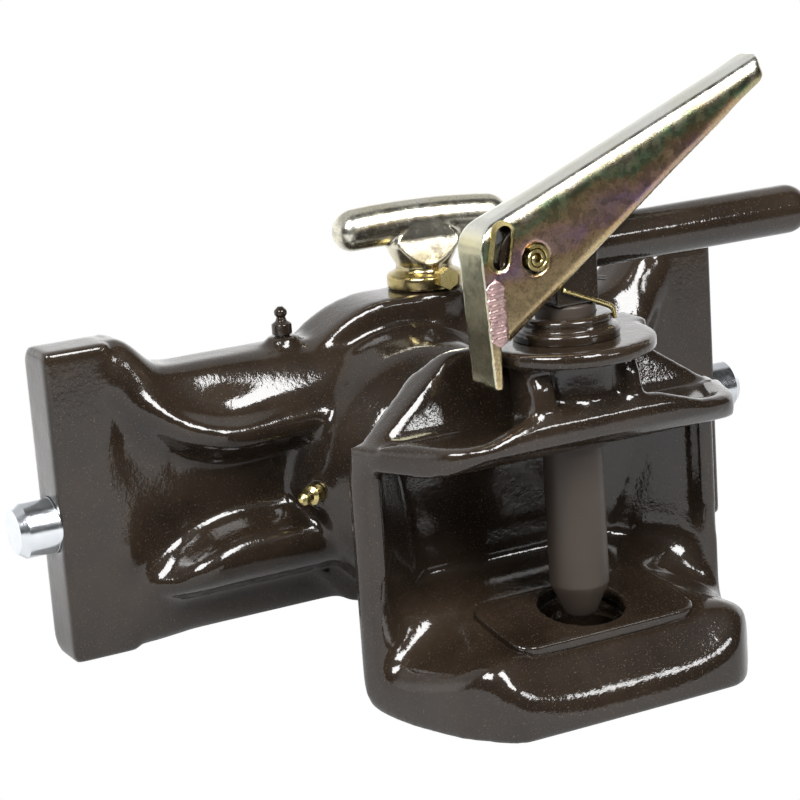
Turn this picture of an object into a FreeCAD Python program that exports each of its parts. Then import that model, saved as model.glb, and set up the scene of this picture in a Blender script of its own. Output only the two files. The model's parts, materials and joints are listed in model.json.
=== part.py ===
import FreeCAD
import Part
import math
import os

# Automatic pin coupling for a slide-in hitch frame.
# Millimetres, +Z up, the jaw opens towards -Y.
# The origin is the middle of the two locking pins' common axis.

# Guide plates and carrier beam
guide_width = 390.0
plate_depth = 32.0
plate_face = 34.0
plate_top = 89.0
plate_bottom = -69.5
beam_top = 70.0
beam_bottom = -67.0
beam_roll = 21.0
web_set_back = 0.5
cavity_front = -9.5
cavity_top = 63.0
cavity_bottom = -50.0
hub_radius = 70.0
hub_nose_radius = 52.0
hub_front = -62.0
hub_back = 40.0
barrel_radius = 44.0
hump_top = 85.0
hump_radius = 70.0
hump_half = 58.0

# Locking pins and their drive
lock_pin_d = 28.0
lock_pin_out = 19.5
lock_tail_d = 10.0
lock_shoulder = 178.0
lock_collar_d = 18.0
rib_x = 92.0
rib_thick = 8.0
shaft_x = 28.0
shaft_y = 8.0
shaft_d = 18.0
crank_radius = 14.2
drive_pin_d = 6.0
arm_z = 49.0
arm_thick = 5.0
disc_thick = 5.0

# Lock handle
handle_reach = 48.5
handle_bar_d = 21.6
handle_z = 118.0
handle_turned = -11.0

# Jaw
pin_y = -177.0
pin_d = 28.0
pin_tip_z = -42.0
pin_taper_z = -26.0
mouth_roof = 40.0
mouth_floor = -39.5
mouth_half = 88.0
mouth_back = -124.0
flank_half = 99.5
flank_front = -155.0
lip_bottom = -80.0
lower_lip_front = -222.0
lower_lip_half = 62.0
upper_lip_front = -206.0
upper_lip_half = 74.0
rim_top = 64.5
rim_roll = 8.0
rim_bottom = 43.5
neck_back = -63.5
neck_radius = 47.0
disc_radius = 41.0
disc_bottom = 84.5
disc_top = 92.0
cap_top = 103.0
shank_d = 44.0

# Hand bar and latch lever
bar_z = 133.0
bar_d = 23.3
bar_end = 136.0
latch_x = -23.0
latch_head_d = 34.0
latch_half = 10.8
latch_offset = -4.8
sheet = 3.0
spirol_d = 14.0
tongue_end = 52.0
lever_reach = 99.0
lever_rise = 75.5
lever_bend = 6.5

# Clearances
running = 0.05
clear = 0.4
loose = 0.8

V = FreeCAD.Vector
X_AXIS = V(1, 0, 0)
Y_AXIS = V(0, 1, 0)
Z_AXIS = V(0, 0, 1)


def place(plane, u, v, w):
    if plane == "xy":
        return V(u, v, w)
    if plane == "xz":
        return V(u, w, v)
    return V(w, u, v)


NORMALS = {"xy": Z_AXIS, "xz": Y_AXIS, "yz": X_AXIS}


def outline(points, plane, w, radius=0.0):
    """A closed wire through the points, each corner rounded by its third value or by radius."""
    flat = [V(p[0], p[1], 0) for p in points]
    radii = [p[2] if len(p) > 2 else radius for p in points]
    n = len(flat)
    corners = []
    for i in range(n):
        here = flat[i]
        back = flat[i - 1] - here
        ahead = flat[(i + 1) % n] - here
        turn = back.getAngle(ahead)
        room = 0.49 * min(back.Length, ahead.Length)
        straight = abs(turn - math.pi) < 0.02
        if radii[i] < 0.01 or straight:
            corners.append((here, None, here))
            continue
        reach = min(radii[i] / math.tan(turn / 2), room)
        r = reach * math.tan(turn / 2)
        a = V(back)
        a.normalize()
        b = V(ahead)
        b.normalize()
        middle = a + b
        middle.normalize()
        tip = here + middle * (r / math.sin(turn / 2) - r)
        corners.append((here + a * reach, tip, here + b * reach))
    edges = []
    for i in range(n):
        first, tip, last = corners[i]
        if tip is not None:
            pts = [place(plane, q.x, q.y, w) for q in (first, tip, last)]
            edges.append(Part.Arc(*pts).toShape())
        start = corners[(i + 1) % n][0]
        if (start - last).Length > 1e-6:
            p = place(plane, last.x, last.y, w)
            q = place(plane, start.x, start.y, w)
            edges.append(Part.makeLine(p, q))
    return Part.Wire(edges)


def prism(points, plane, low, high, radius=0.0):
    face = Part.Face(outline(points, plane, low, radius))
    return face.extrude(NORMALS[plane] * (high - low))


def box(x0, x1, y0, y1, z0, z1):
    return Part.makeBox(x1 - x0, y1 - y0, z1 - z0, V(x0, y0, z0))


def rod(radius, start, end):
    way = end - start
    return Part.makeCylinder(radius, way.Length, start, way)


def turned(profile, base, axis, radius=0.0):
    """A solid of revolution: profile gives (radius, height along axis from base)."""
    face = Part.Face(outline(profile, "xz", 0.0, radius))
    solid = face.revolve(V(0, 0, 0), Z_AXIS, 360)
    if solid.Volume < 0:
        solid.reverse()
    solid.Placement = FreeCAD.Placement(base, FreeCAD.Rotation(Z_AXIS, axis))
    return solid


def fuse(first, *rest):
    return first.multiFuse(list(rest)).removeSplitter()


def mirrored(shape):
    return shape.mirror(V(0, 0, 0), X_AXIS)


def ease(value, low, high, power=2.0):
    part = min(max((value - low) / (high - low), 0.0), 1.0)
    return part ** power


def swing(value, low, high):
    part = ease(value, low, high, 1.0)
    return part * part * (3 - 2 * part)


def hexagon(across, plane, u, v):
    r = across / math.sqrt(3)
    turns = [math.radians(60 * k + 30) for k in range(6)]
    return [(u + r * math.cos(a), v + r * math.sin(a)) for a in turns]


# Carrier beam
# Each section shows a rolled upper flange, a recessed web and a lower rib,
# and flattens into the guide plate at its outer end.
half_guide = guide_width / 2
plate_inner = half_guide - plate_face
plate_front = -plate_depth / 2
plate_back = plate_depth / 2


inset = 0.7


def beam_section(x):
    ax = abs(x)
    flat = ease(ax, plate_inner - 61, plate_inner)
    rise = swing(ax, plate_inner - 34, plate_inner - 5)
    sweep = ease(ax, plate_inner - 60, plate_inner, 2.0)
    swell = 1 - ease(ax, plate_inner - 33, plate_inner - 3, 1.2)
    top = beam_top + (plate_top - inset - beam_top) * rise
    inward = max(plate_inner - 56 - ax, 0.0)
    crease = beam_top - 27 + 0.13 * inward + (plate_top - beam_top + 19) * sweep
    bead = beam_top - 37 + (plate_top - beam_top + 12) * sweep
    bottom = beam_bottom + (plate_bottom + inset - beam_bottom) * rise

    def out(amount):
        return plate_front + inset / 2 - amount * (1 - flat)

    web = plate_front + inset / 2 + web_set_back * (1 - flat)
    rib_out = plate_front + inset / 2 - beam_roll * swell
    rib_top = -14 - 25 * ease(ax, plate_inner - 58, plate_inner - 5, 1.7)
    rib_low = -41.5 - 1.5 * flat
    middle = (bead - 12 + rib_top + 5) / 2
    front = [
        V(x, plate_front + 16, top),
        V(x, plate_front + 3 - 4 * (1 - flat), top - 3 - 5 * (1 - flat)),
        V(x, out(11), crease),
        V(x, out(beam_roll), bead + 5),
        V(x, out(beam_roll - 3), bead - 4),
        V(x, out(4), bead - 12),
        V(x, web, middle),
        V(x, web - 0.2, rib_top + 5),
        V(x, (web + rib_out) / 2, rib_top),
        V(x, rib_out, 0.65 * rib_top + 0.35 * rib_low),
        V(x, rib_out + 2 * swell, 0.2 * rib_top + 0.8 * rib_low),
        V(x, (web + rib_out) / 2, rib_low - 1.5),
        V(x, web - 1.5 * swell, rib_low - 7),
        V(x, plate_front, bottom + 9),
        V(x, plate_front + 5, bottom),
    ]
    curve = Part.BSplineCurve()
    curve.interpolate(front)
    corner_low = V(x, plate_back - inset, bottom)
    corner_high = V(x, plate_back - inset, top)
    return Part.Wire([
        curve.toShape(),
        Part.makeLine(front[-1], corner_low),
        Part.makeLine(corner_low, corner_high),
        Part.makeLine(corner_high, front[0]),
    ])


shares = [1.03, 0.965, 0.895, 0.835, 0.76, 0.66, 0.53, 0.37, 0.18]
stations = [-plate_inner * s for s in shares] + [0.0] + [plate_inner * s for s in reversed(shares)]
beam = Part.makeLoft([beam_section(x) for x in stations], True, False)

plate_outline = [
    (plate_front, plate_top, 2.5),
    (plate_front, plate_bottom, 2.5),
    (plate_back, plate_bottom, 9.0),
    (plate_back, plate_top, 9.0),
]
plate_left = prism(plate_outline, "yz", -half_guide, -plate_inner)
plate_right = prism(plate_outline, "yz", plate_inner, half_guide)

hub = turned([
    (0, 0),
    (hub_nose_radius, 0, 3),
    (hub_radius - 5, 20, 12),
    (hub_radius, 44, 6),
    (hub_radius, -hub_front - 8),
    (0, -hub_front - 8),
], V(0, hub_front, 0), Y_AXIS)
hump_back = plate_back + 9
hump = rod(hump_radius, V(0, plate_front + 4, hump_top - hump_radius), V(0, hump_back, hump_top - hump_radius))
hump = hump.common(box(-hump_half, hump_half, hub_front, -hub_front, beam_top - 30, hump_top))
hub_floor = prism([
    (-hub_radius + 8, -48),
    (hub_radius - 8, -48),
    (hub_radius - 26, -hub_radius, 20),
    (-hub_radius + 26, -hub_radius, 20),
], "xz", hub_front + 40, hub_back - 8)
nipple_x = -61.0
nipple_boss = rod(8.5, V(nipple_x, 0, beam_top - 6), V(nipple_x, 0, beam_top + 5))
nipple_way = V(-1, -0.6, 0)
nipple_way.normalize()
front_seat = V(-hub_radius + 2, hub_front + 22, 0)
front_boss = rod(9.0, front_seat - nipple_way * 14, front_seat)
shaft_seat = rod(22.0, V(shaft_x, shaft_y, cavity_top + 2), V(shaft_x, shaft_y, hump_top))
carrier = fuse(beam, plate_left, plate_right)
carrier = fuse(carrier, hub, hump, hub_floor)
carrier = fuse(carrier, nipple_boss, front_boss, shaft_seat)

lock_wall = 14.0
cavity_half = plate_inner - lock_wall
cavity = prism([
    (-cavity_half, cavity_bottom),
    (cavity_half, cavity_bottom),
    (cavity_half, cavity_top),
    (-cavity_half, cavity_top),
], "xz", cavity_front, hub_back + 30, 8.0)
arm_room = box(-hump_half + 4, hump_half - 4, plate_front + 2.5, hub_back + 30, arm_z - 3, cavity_top)
carrier = carrier.cut(fuse(cavity, arm_room))

lock_r = lock_pin_d / 2
lock_travel = lock_pin_out + 0.5
guide_end = lock_shoulder - lock_travel - 1
rib = box(-rib_x - rib_thick, -rib_x, cavity_front - 3, plate_back, cavity_bottom - 3, cavity_top + 3)
barrel = rod(barrel_radius, V(0, cavity_front - 12, 0), V(0, hub_back, 0))
struts = box(-5, 5, cavity_front - 3, plate_back + 8, cavity_bottom - 4, -barrel_radius + 4)
carrier = fuse(carrier, rib, mirrored(rib), barrel, struts)

bush_wall = 4.0
shank_r = shank_d / 2
bush_length = 30.0
pin_bore = rod(lock_r + clear, V(-half_guide - 5, 0, 0), V(half_guide + 5, 0, 0))
inner_room = half_guide
pin_bores = pin_bore.cut(box(-guide_end, guide_end, -inner_room, inner_room, -inner_room, inner_room))
tail_r = lock_tail_d / 2
tail_bore = rod(tail_r + clear, V(-guide_end - 1, 0, 0), V(-rib_x + 1, 0, 0))
shank_bore = rod(shank_r + bush_wall, V(0, hub_front - 1, 0), V(0, hub_back + 1, 0))
shaft_r = shaft_d / 2
shaft_bore = rod(shaft_r + running, V(shaft_x, shaft_y, arm_z), V(shaft_x, shaft_y, hump_top + 5))
seat = rod(22.0, V(shaft_x, shaft_y, hump_top), V(shaft_x, shaft_y, hump_top + 20))
nipple_r = 4.0
top_tap = rod(nipple_r, V(nipple_x, 0, beam_top + 1), V(nipple_x, 0, beam_top + 7))
front_tap = rod(nipple_r, front_seat - nipple_way * 4, front_seat + nipple_way * 9)
carrier = carrier.cut(fuse(pin_bores, tail_bore, mirrored(tail_bore), shank_bore, shaft_bore, seat))
carrier = carrier.cut(top_tap).cut(front_tap)


def bush(inner, outer, start, end):
    return rod(outer, start, end).cut(rod(inner, start, end))


hub_bush_front = bush(shank_r + running, shank_r + bush_wall,
                      V(0, hub_front, 0), V(0, hub_front + bush_length, 0))
hub_bush_rear = bush(shank_r + running, shank_r + bush_wall,
                     V(0, hub_back - bush_length, 0), V(0, hub_back, 0))


def nipple(seat_point, way):
    return turned([
        (0, -4), (nipple_r, -4), (nipple_r, 0), (5.2, 0), (5.2, 5, 0.8), (3.0, 6.5),
        (2.3, 8.5), (3.3, 10, 1.0), (3.3, 12, 1.4), (1.2, 14), (0, 14),
    ], seat_point, way)


top_grease_nipple = nipple(V(nipple_x, 0, beam_top + 5), Z_AXIS)
front_grease_nipple = nipple(front_seat, nipple_way)

# Locking pins, drawn in by two slotted arms that a drive disc pulls
pin_end = half_guide + lock_pin_out
tail_end = rib_x - 14
lock_guided_r = lock_r + 0.1
locking_pin = turned([
    (0, 0), (lock_r - 3, 0), (lock_r, 4), (lock_r, lock_pin_out - 0.6), (lock_guided_r, lock_pin_out - 0.5),
    (lock_guided_r, pin_end - lock_shoulder), (tail_r, pin_end - lock_shoulder),
    (tail_r, pin_end - tail_end), (0, pin_end - tail_end),
], V(-pin_end, 0, 0), X_AXIS)
collar_face = cavity_half - 8
collar_thick = 4.0
lock_collar = rod(lock_collar_d / 2, V(-collar_face - collar_thick, 0, 0), V(-collar_face, 0, 0))
locking_pin = fuse(locking_pin, lock_collar)
locking_pin_left = locking_pin
locking_pin_right = mirrored(locking_pin)

drive_r = drive_pin_d / 2
half_turn = math.asin(lock_travel / 2 / crank_radius)
crank_x = crank_radius * math.sin(half_turn)
crank_y = crank_radius * math.cos(half_turn)
slot_half = drive_r + loose
arm_face = rib_x - clear
arm_wall = 2.6
arm_front = cavity_front + 1.0


def draw_arm(side, end_x, end_y):
    """An angle piece on the pin's tail with a cross slot over the drive pin."""
    lean = -1 if end_y < shaft_y else 1
    near = end_y - lean * slot_half
    far = end_y + lean * (crank_radius - crank_y + slot_half)
    slot_low = min(near, far)
    slot_high = max(near, far)
    arm_low = arm_front if lean < 0 else slot_low - arm_wall
    tip = end_x - side * (slot_half + arm_wall)
    shoulder = end_x + side * (slot_half + arm_wall)
    heel = side * arm_face
    toe = side * (arm_face - arm_thick)
    head = box(min(tip, shoulder), max(tip, shoulder), slot_low - arm_wall, slot_high + arm_wall,
               arm_z, arm_z + arm_thick)
    strip = box(min(end_x + side * slot_half, heel), max(end_x + side * slot_half, heel),
                arm_low, slot_high + arm_wall, arm_z, arm_z + arm_thick)
    upright = box(min(heel, toe), max(heel, toe), arm_front, max(slot_high + arm_wall, 8.0),
                  -10, arm_z + arm_thick)
    hole = rod(tail_r + running, V(heel - 9, 0, 0), V(heel + 9, 0, 0))
    slot = box(end_x - slot_half, end_x + slot_half, slot_low, slot_high, arm_z - 1, arm_z + arm_thick + 1)
    return fuse(head, strip, upright).cut(hole).cut(slot)


draw_arm_left = draw_arm(-1, shaft_x - crank_x, shaft_y + crank_y)
draw_arm_right = draw_arm(1, shaft_x + crank_x, shaft_y - crank_y)


def tail_nut(side):
    start = V(side * (arm_face - arm_thick), 0, 0)
    end = V(side * (arm_face - arm_thick - 5), 0, 0)
    block = prism(hexagon(17.0, "yz", 0, 0), "yz", min(start.x, end.x), max(start.x, end.x))
    return block.cut(rod(tail_r, V(-half_guide, 0, 0), V(half_guide, 0, 0)))


draw_nut_left = tail_nut(-1)
draw_nut_right = tail_nut(1)

wire_r = 1.6
coil_r = tail_r + wire_r + 0.6


def coil(length, turns, radius, wire, base, axis):
    pitch = (length - 2 * wire - 0.4) / turns
    path = Part.makeHelix(pitch, pitch * turns, radius)
    profile = Part.Wire(Part.makeCircle(wire, V(radius, 0, 0), V(0, 1, 0)))
    solid = Part.Wire(path).makePipeShell([profile], True, True)
    solid.translate(V(0, 0, wire + 0.2))
    solid.Placement = FreeCAD.Placement(base, FreeCAD.Rotation(Z_AXIS, axis)).multiply(solid.Placement)
    return solid


spring_length = collar_face - rib_x - rib_thick
spring_turns = max(1, round(spring_length / (5 * wire_r)))
lock_spring_left = coil(spring_length, spring_turns, coil_r, wire_r, V(-collar_face, 0, 0), X_AXIS)
lock_spring_right = mirrored(lock_spring_left)

disc_low = arm_z + arm_thick + 1.0
drive_disc = rod(crank_radius + drive_r + 2.5, V(shaft_x, shaft_y, disc_low),
                 V(shaft_x, shaft_y, disc_low + disc_thick))
hub_base = hump_top + clear
shaft_top = handle_z - 4
shaft_body = rod(shaft_r, V(shaft_x, shaft_y, disc_low), V(shaft_x, shaft_y, shaft_top))


def drive_pin(px, py):
    return rod(drive_r, V(px, py, arm_z + 0.5), V(px, py, disc_low + disc_thick))


rear_drive = drive_pin(shaft_x - crank_x, shaft_y + crank_y)
front_drive = drive_pin(shaft_x + crank_x, shaft_y - crank_y)
drive_pins = Part.makeCompound([rear_drive, front_drive])
lock_shaft = fuse(shaft_body, drive_disc).cut(rear_drive).cut(front_drive)

# Lock handle: a stout cross bar with round ends on a conical hub
bar_r = handle_bar_d / 2
centre = V(shaft_x, shaft_y, handle_z)
bar_run = V(handle_reach - bar_r, 0, 0)
cross_bar = rod(bar_r, centre - bar_run, centre + bar_run)
bar_ends = [Part.makeSphere(bar_r, centre - bar_run), Part.makeSphere(bar_r, centre + bar_run)]
hub_height = handle_z - hub_base
handle_hub = turned([
    (0, 0), (20, 0), (20, 7, 1.5), (15, 9, 2), (14.5, 12, 2), (21, hub_height - bar_r + 1, 3),
    (14, hub_height - 2, 2), (0, hub_height),
], V(shaft_x, shaft_y, hub_base), Z_AXIS)
lock_handle = fuse(handle_hub, cross_bar, *bar_ends)
lock_handle.rotate(centre, Z_AXIS, handle_turned)
lock_handle = lock_handle.cut(rod(shaft_r, V(shaft_x, shaft_y, hub_base - 1), V(shaft_x, shaft_y, shaft_top)))
bolt_y = shaft_y - 18.0
bolt_z = hub_base + 6.8
bolt_shank = rod(3.0, V(shaft_x, bolt_y, bolt_z), V(shaft_x, shaft_y - shaft_r, bolt_z))
bolt_head = prism(hexagon(10.0, "xz", shaft_x, bolt_z), "xz", bolt_y - 9, bolt_y - 2.2)
bolt_neck = rod(3.0, V(shaft_x, bolt_y - 3, bolt_z), V(shaft_x, bolt_y, bolt_z))
handle_bolt = fuse(bolt_shank, bolt_head, bolt_neck)
lock_handle = lock_handle.cut(handle_bolt)

# Jaw: a bowl from the swivel neck to the mouth, with flared lips
def rounded_frame(half_x, low, high, radius, y):
    r = min(radius, half_x - 0.5, (high - low) / 2 - 0.5)
    return outline([(-half_x, low), (half_x, low), (half_x, high), (-half_x, high)], "xz", y, r)


bowl_front = flank_front + 12
jaw_top = rim_bottom + 7.5
bowl = Part.makeLoft([
    rounded_frame(flank_half, lip_bottom, jaw_top, 14, bowl_front),
    rounded_frame(0.79 * flank_half, 0.9 * lip_bottom, 0.84 * jaw_top, 34,
                  0.52 * bowl_front + 0.48 * neck_back),
    rounded_frame(neck_radius, -neck_radius, neck_radius, neck_radius, neck_back),
], True, False)
flank = prism([
    (-flank_half, lip_bottom), (flank_half, lip_bottom),
    (flank_half, jaw_top), (-flank_half, jaw_top),
], "xz", flank_front, bowl_front, 14)
flank_plan = prism([
    (-flank_half, bowl_front), (-flank_half + 4.5, flank_front, 3),
    (flank_half - 4.5, flank_front, 3), (flank_half, bowl_front),
], "xy", lip_bottom, jaw_top)
flank = flank.common(flank_plan)
lower_lip = prism([
    (-flank_half, bowl_front), (-flank_half + 6, flank_front - 6, 12),
    (-lower_lip_half - 18, lower_lip_front + 24, 14), (-lower_lip_half, lower_lip_front, 22),
    (lower_lip_half, lower_lip_front, 22), (lower_lip_half + 18, lower_lip_front + 24, 14),
    (flank_half - 6, flank_front - 6, 12), (flank_half, bowl_front),
], "xy", lip_bottom, mouth_floor + 12)
lip_sides = prism([
    (-flank_half, lip_bottom, 12), (flank_half, lip_bottom, 12), (flank_half, rim_top), (-flank_half, rim_top),
], "xz", lower_lip_front - 5, bowl_front)
lower_lip = lower_lip.common(lip_sides)
lip_throat = mouth_roof - 2
upper_lip = prism([
    (-flank_half, bowl_front), (-flank_half + 5, flank_front - 6, 12),
    (-upper_lip_half, upper_lip_front, 22), (upper_lip_half, upper_lip_front, 22),
    (flank_half - 5, flank_front - 6, 12), (flank_half, bowl_front),
], "xy", lip_throat, rim_top)
dish_floor = jaw_top
rim_width = 11.0
dish = prism([
    (-flank_half + 14, bowl_front + 6), (-flank_half + 15, flank_front - 4, 10),
    (-upper_lip_half + 8, upper_lip_front + rim_width, 14),
    (upper_lip_half - 8, upper_lip_front + rim_width, 14),
    (flank_half - 15, flank_front - 4, 10), (flank_half - 14, bowl_front + 6),
], "xy", dish_floor, rim_top + 20)
side_slope = prism([
    (flank_front - 38, rim_top + 1), (flank_front + 40, rim_top + 1), (flank_front + 40, jaw_top),
    (flank_front - 4, jaw_top + 0.5, 20),
], "yz", -flank_half - 10, flank_half + 10)
side_slope = side_slope.cut(box(-disc_radius, disc_radius, 2 * pin_y, 0, 0, 2 * plate_top))
lip_arch = prism([
    (-flank_half - 5, lip_throat - 5), (flank_half + 5, lip_throat - 5), (flank_half + 5, jaw_top),
    (upper_lip_half + 10, rim_top - 9.5, 20), (0.76 * upper_lip_half, rim_top - 8, 20),
    (0.42 * upper_lip_half, rim_top, 25), (-0.42 * upper_lip_half, rim_top, 25),
    (-0.76 * upper_lip_half, rim_top - 8, 20), (-upper_lip_half - 10, rim_top - 9.5, 20), (-flank_half - 5, jaw_top),
], "xz", upper_lip_front - 10, bowl_front + 10)
lip_roll = prism([
    (upper_lip_front, lip_throat - 5), (bowl_front + 10, lip_throat - 5), (bowl_front + 10, rim_top),
    (upper_lip_front, rim_top, rim_roll),
], "yz", -flank_half - 5, flank_half + 5)
upper_lip = upper_lip.cut(dish).cut(side_slope).common(lip_arch).common(lip_roll)

gusset_front = flank_front + 2
gusset_side = prism([
    (-flank_half + 3, dish_floor - 14), (-flank_half + 8, dish_floor + 1, 6),
    (-disc_radius - 3, disc_bottom + 1, 10), (disc_radius + 3, disc_bottom + 1, 10),
    (flank_half - 8, dish_floor + 1, 6), (flank_half - 3, dish_floor - 14),
], "xz", gusset_front - 10, neck_back - 12)
gusset_slope = prism([
    (gusset_front - 4, dish_floor - 16), (gusset_front - 4, dish_floor),
    (gusset_front + 8, disc_bottom + 2), (gusset_front + 15, disc_bottom + 2, 6),
    (gusset_front + 42, dish_floor - 2, 14), (neck_back - 14, neck_radius - 6), (neck_back - 14, dish_floor - 16),
], "yz", -flank_half, flank_half)
gusset_plan = prism([
    (-flank_half + 3, gusset_front - 6), (flank_half - 3, gusset_front - 6), (flank_half - 3, bowl_front),
    (0.6 * flank_half, bowl_front + 13, 20), (0.3 * flank_half, bowl_front + 40, 20),
    (-0.3 * flank_half, bowl_front + 40, 20), (-0.6 * flank_half, bowl_front + 13, 20),
    (-flank_half + 3, bowl_front),
], "xy", 0, disc_top)
gusset = gusset_side.common(gusset_slope).common(gusset_plan)

tower_r = pin_d / 2 + 9.5
tower = rod(tower_r, V(0, pin_y, mouth_roof + 1), V(0, pin_y, disc_bottom + 2))
disc = rod(disc_radius, V(0, pin_y, disc_bottom), V(0, pin_y, disc_top))
lug = prism([
    (8, pin_y + 34), (8, pin_y - 4), (disc_radius + 8, pin_y + 4, 8), (disc_radius + 8, pin_y + 30, 10),
], "xy", disc_bottom, disc_top)


def lip_rib(x, half):
    return prism([
        (upper_lip_front + 6, dish_floor - 4), (upper_lip_front + 4, rim_top - 3),
        (upper_lip_front + 5, disc_bottom - 10, 8), (upper_lip_front + 12, disc_bottom + 1),
        (pin_y, disc_bottom + 1), (pin_y, dish_floor - 4),
    ], "yz", x - half, x + half)


shank_back = hub_back + 9
thread_end = shank_back + 24
shank = rod(shank_r, V(0, neck_back - 10, 0), V(0, shank_back, 0))
thread = rod(shank_r - 2, V(0, shank_back - 1, 0), V(0, thread_end, 0))
jaw = fuse(bowl, flank, lower_lip, upper_lip, gusset, tower, disc, lug,
           lip_rib(-0.65 * disc_radius, 6.0), lip_rib(0.5 * disc_radius, 4.5), shank, thread)

mouth_plan = prism([
    (-flank_half - 40, flank_front - 0.5), (-mouth_half - 1, flank_front - 0.5, 3),
    (-mouth_half + 3, flank_front + 8, 8), (-mouth_half + 34, mouth_back + 3, 30),
    (mouth_half - 34, mouth_back + 3, 30), (mouth_half - 3, flank_front + 8, 8),
    (mouth_half + 1, flank_front - 0.5, 3), (flank_half + 40, flank_front - 0.5),
    (flank_half + 40, lower_lip_front - 40), (-flank_half - 40, lower_lip_front - 40),
], "xy", lip_bottom - 5, rim_top + 30)
plate_back_y = pin_y + 21
plate_front_y = pin_y - 28
lip_edge_z = lip_bottom + 11
fall = math.tan(math.radians(10.0))


def floor_at(y):
    return mouth_floor + (y - pin_y) * fall


wall_lean = 12.0
mouth_side = prism([
    (mouth_back + 2, floor_at(mouth_back) + 6, 5), (mouth_back - wall_lean, mouth_roof, 14),
    (upper_lip_front + 24, mouth_roof, 20), (upper_lip_front + rim_roll - 1, rim_bottom + 0.5, rim_roll),
    (upper_lip_front - 0.5, rim_bottom + rim_roll, rim_roll), (lower_lip_front - 30, rim_bottom + 2 * rim_roll),
    (lower_lip_front - 30, lip_edge_z - 34),
    (lower_lip_front, lip_edge_z, 2), (plate_front_y, floor_at(plate_front_y), 14),
    (mouth_back - 3, floor_at(mouth_back), 10),
], "yz", -flank_half - 40, flank_half + 40)
flare_from = 52.0
flare_fall = 24.0
flare = prism([
    (flare_from, mouth_floor + 1), (flank_half + 5, mouth_floor - flare_fall), (flank_half + 45, mouth_floor - flare_fall),
    (flank_half + 45, mouth_floor + 30), (flare_from, mouth_floor + 30),
], "xz", lower_lip_front - 40, flank_front + 10)
flare_rake = prism([
    (flank_front + 9, mouth_floor + 20), (flank_front + 5, mouth_floor - 4), (flank_front - 16, lip_bottom),
    (lower_lip_front - 40, lip_bottom), (lower_lip_front - 40, mouth_floor + 20),
], "yz", -flank_half - 60, flank_half + 60)
flare = flare.common(flare_rake)
mouth = mouth_side.multiFuse([flare, mirrored(flare)])
jaw = jaw.cut(mouth_plan.common(mouth))

# Wear plate let into the floor of the mouth
plate_half = 49.0
plate_proud = 2.0
plate_sunk = 4.0


def floor_slab(half, grow, below, above):
    a = plate_front_y + 1 - grow
    b = plate_back_y + grow
    slab = prism([
        (a, floor_at(a) - below), (b, floor_at(b) - below), (b, floor_at(b) + above), (a, floor_at(a) + above),
    ], "yz", -half - grow, half + grow)
    corner = prism([(-half - grow, a), (half + grow, a), (half + grow, b), (-half - grow, b)],
                   "xy", lip_bottom, 0, 9.0)
    return slab.common(corner)


plate_hole_r = pin_d / 2 + 6.5
pin_way = rod(plate_hole_r, V(0, pin_y, lip_bottom - 5), V(0, pin_y, 0))
wear_plate = floor_slab(plate_half, 0.0, plate_sunk, plate_proud).cut(pin_way)
jaw = jaw.cut(floor_slab(plate_half, clear, plate_sunk, plate_proud + 10))
guide_r = pin_d / 2 + 5
jaw = jaw.cut(pin_way).cut(rod(guide_r, V(0, pin_y, 0), V(0, pin_y, disc_top + 5)))
bush_top = mouth_floor - 9
lower_pin_bush = bush(pin_d / 2 + 2.5, plate_hole_r, V(0, pin_y, lip_bottom + 2), V(0, pin_y, bush_top))
upper_pin_bush = bush(pin_d / 2 + running, guide_r, V(0, pin_y, mouth_roof + 2), V(0, pin_y, disc_top))
cap_step = (cap_top + disc_top) / 2
tower_cap = turned([
    (pin_d / 2 + clear, 0), (24.5, 0, 0.5), (25, cap_step - disc_top - 1, 2), (21.5, cap_step - disc_top, 0.6),
    (21, cap_step - disc_top + 1.5, 0.6), (21.5, cap_top - disc_top - 1, 1.5), (19, cap_top - disc_top, 0.8),
    (pin_d / 2 + clear, cap_top - disc_top),
], V(0, pin_y, disc_top), Z_AXIS)

# Swivel shank's washer, castle nut and split pin
washer_back = shank_back - 1
shank_washer = bush(shank_r + clear, shank_r + 14, V(0, hub_back + clear, 0), V(0, washer_back, 0))
nut_thick = 18.0
nut = prism(hexagon(65.0, "xz", 0, 0), "xz", washer_back, washer_back + nut_thick)
nut = nut.cut(rod(shank_r - 2, V(0, hub_back, 0), V(0, thread_end, 0)))
nut = nut.cut(rod(shank_r, V(0, hub_back, 0), V(0, shank_back, 0)))
slot_y = washer_back + nut_thick - 4
for k in range(3):
    groove = box(-45, 45, slot_y - 4, slot_y + 10, -3.5, 3.5)
    groove.rotate(V(0, 0, 0), Y_AXIS, 60 * k)
    nut = nut.cut(groove)
castle_nut = nut
cotter_r = 2.6
cotter_hole = rod(cotter_r, V(-shank_d, slot_y, 0), V(shank_d, slot_y, 0))
jaw = jaw.cut(cotter_hole)
cotter_half = shank_r + 14
cotter_leg = rod(cotter_r, V(-cotter_half, slot_y, 0), V(cotter_half, slot_y, 0))
cotter_eye = Part.makeTorus(4.5, cotter_r, V(-cotter_half - 4, slot_y, 0), Y_AXIS)
split_pin = fuse(cotter_leg, cotter_eye)

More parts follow.
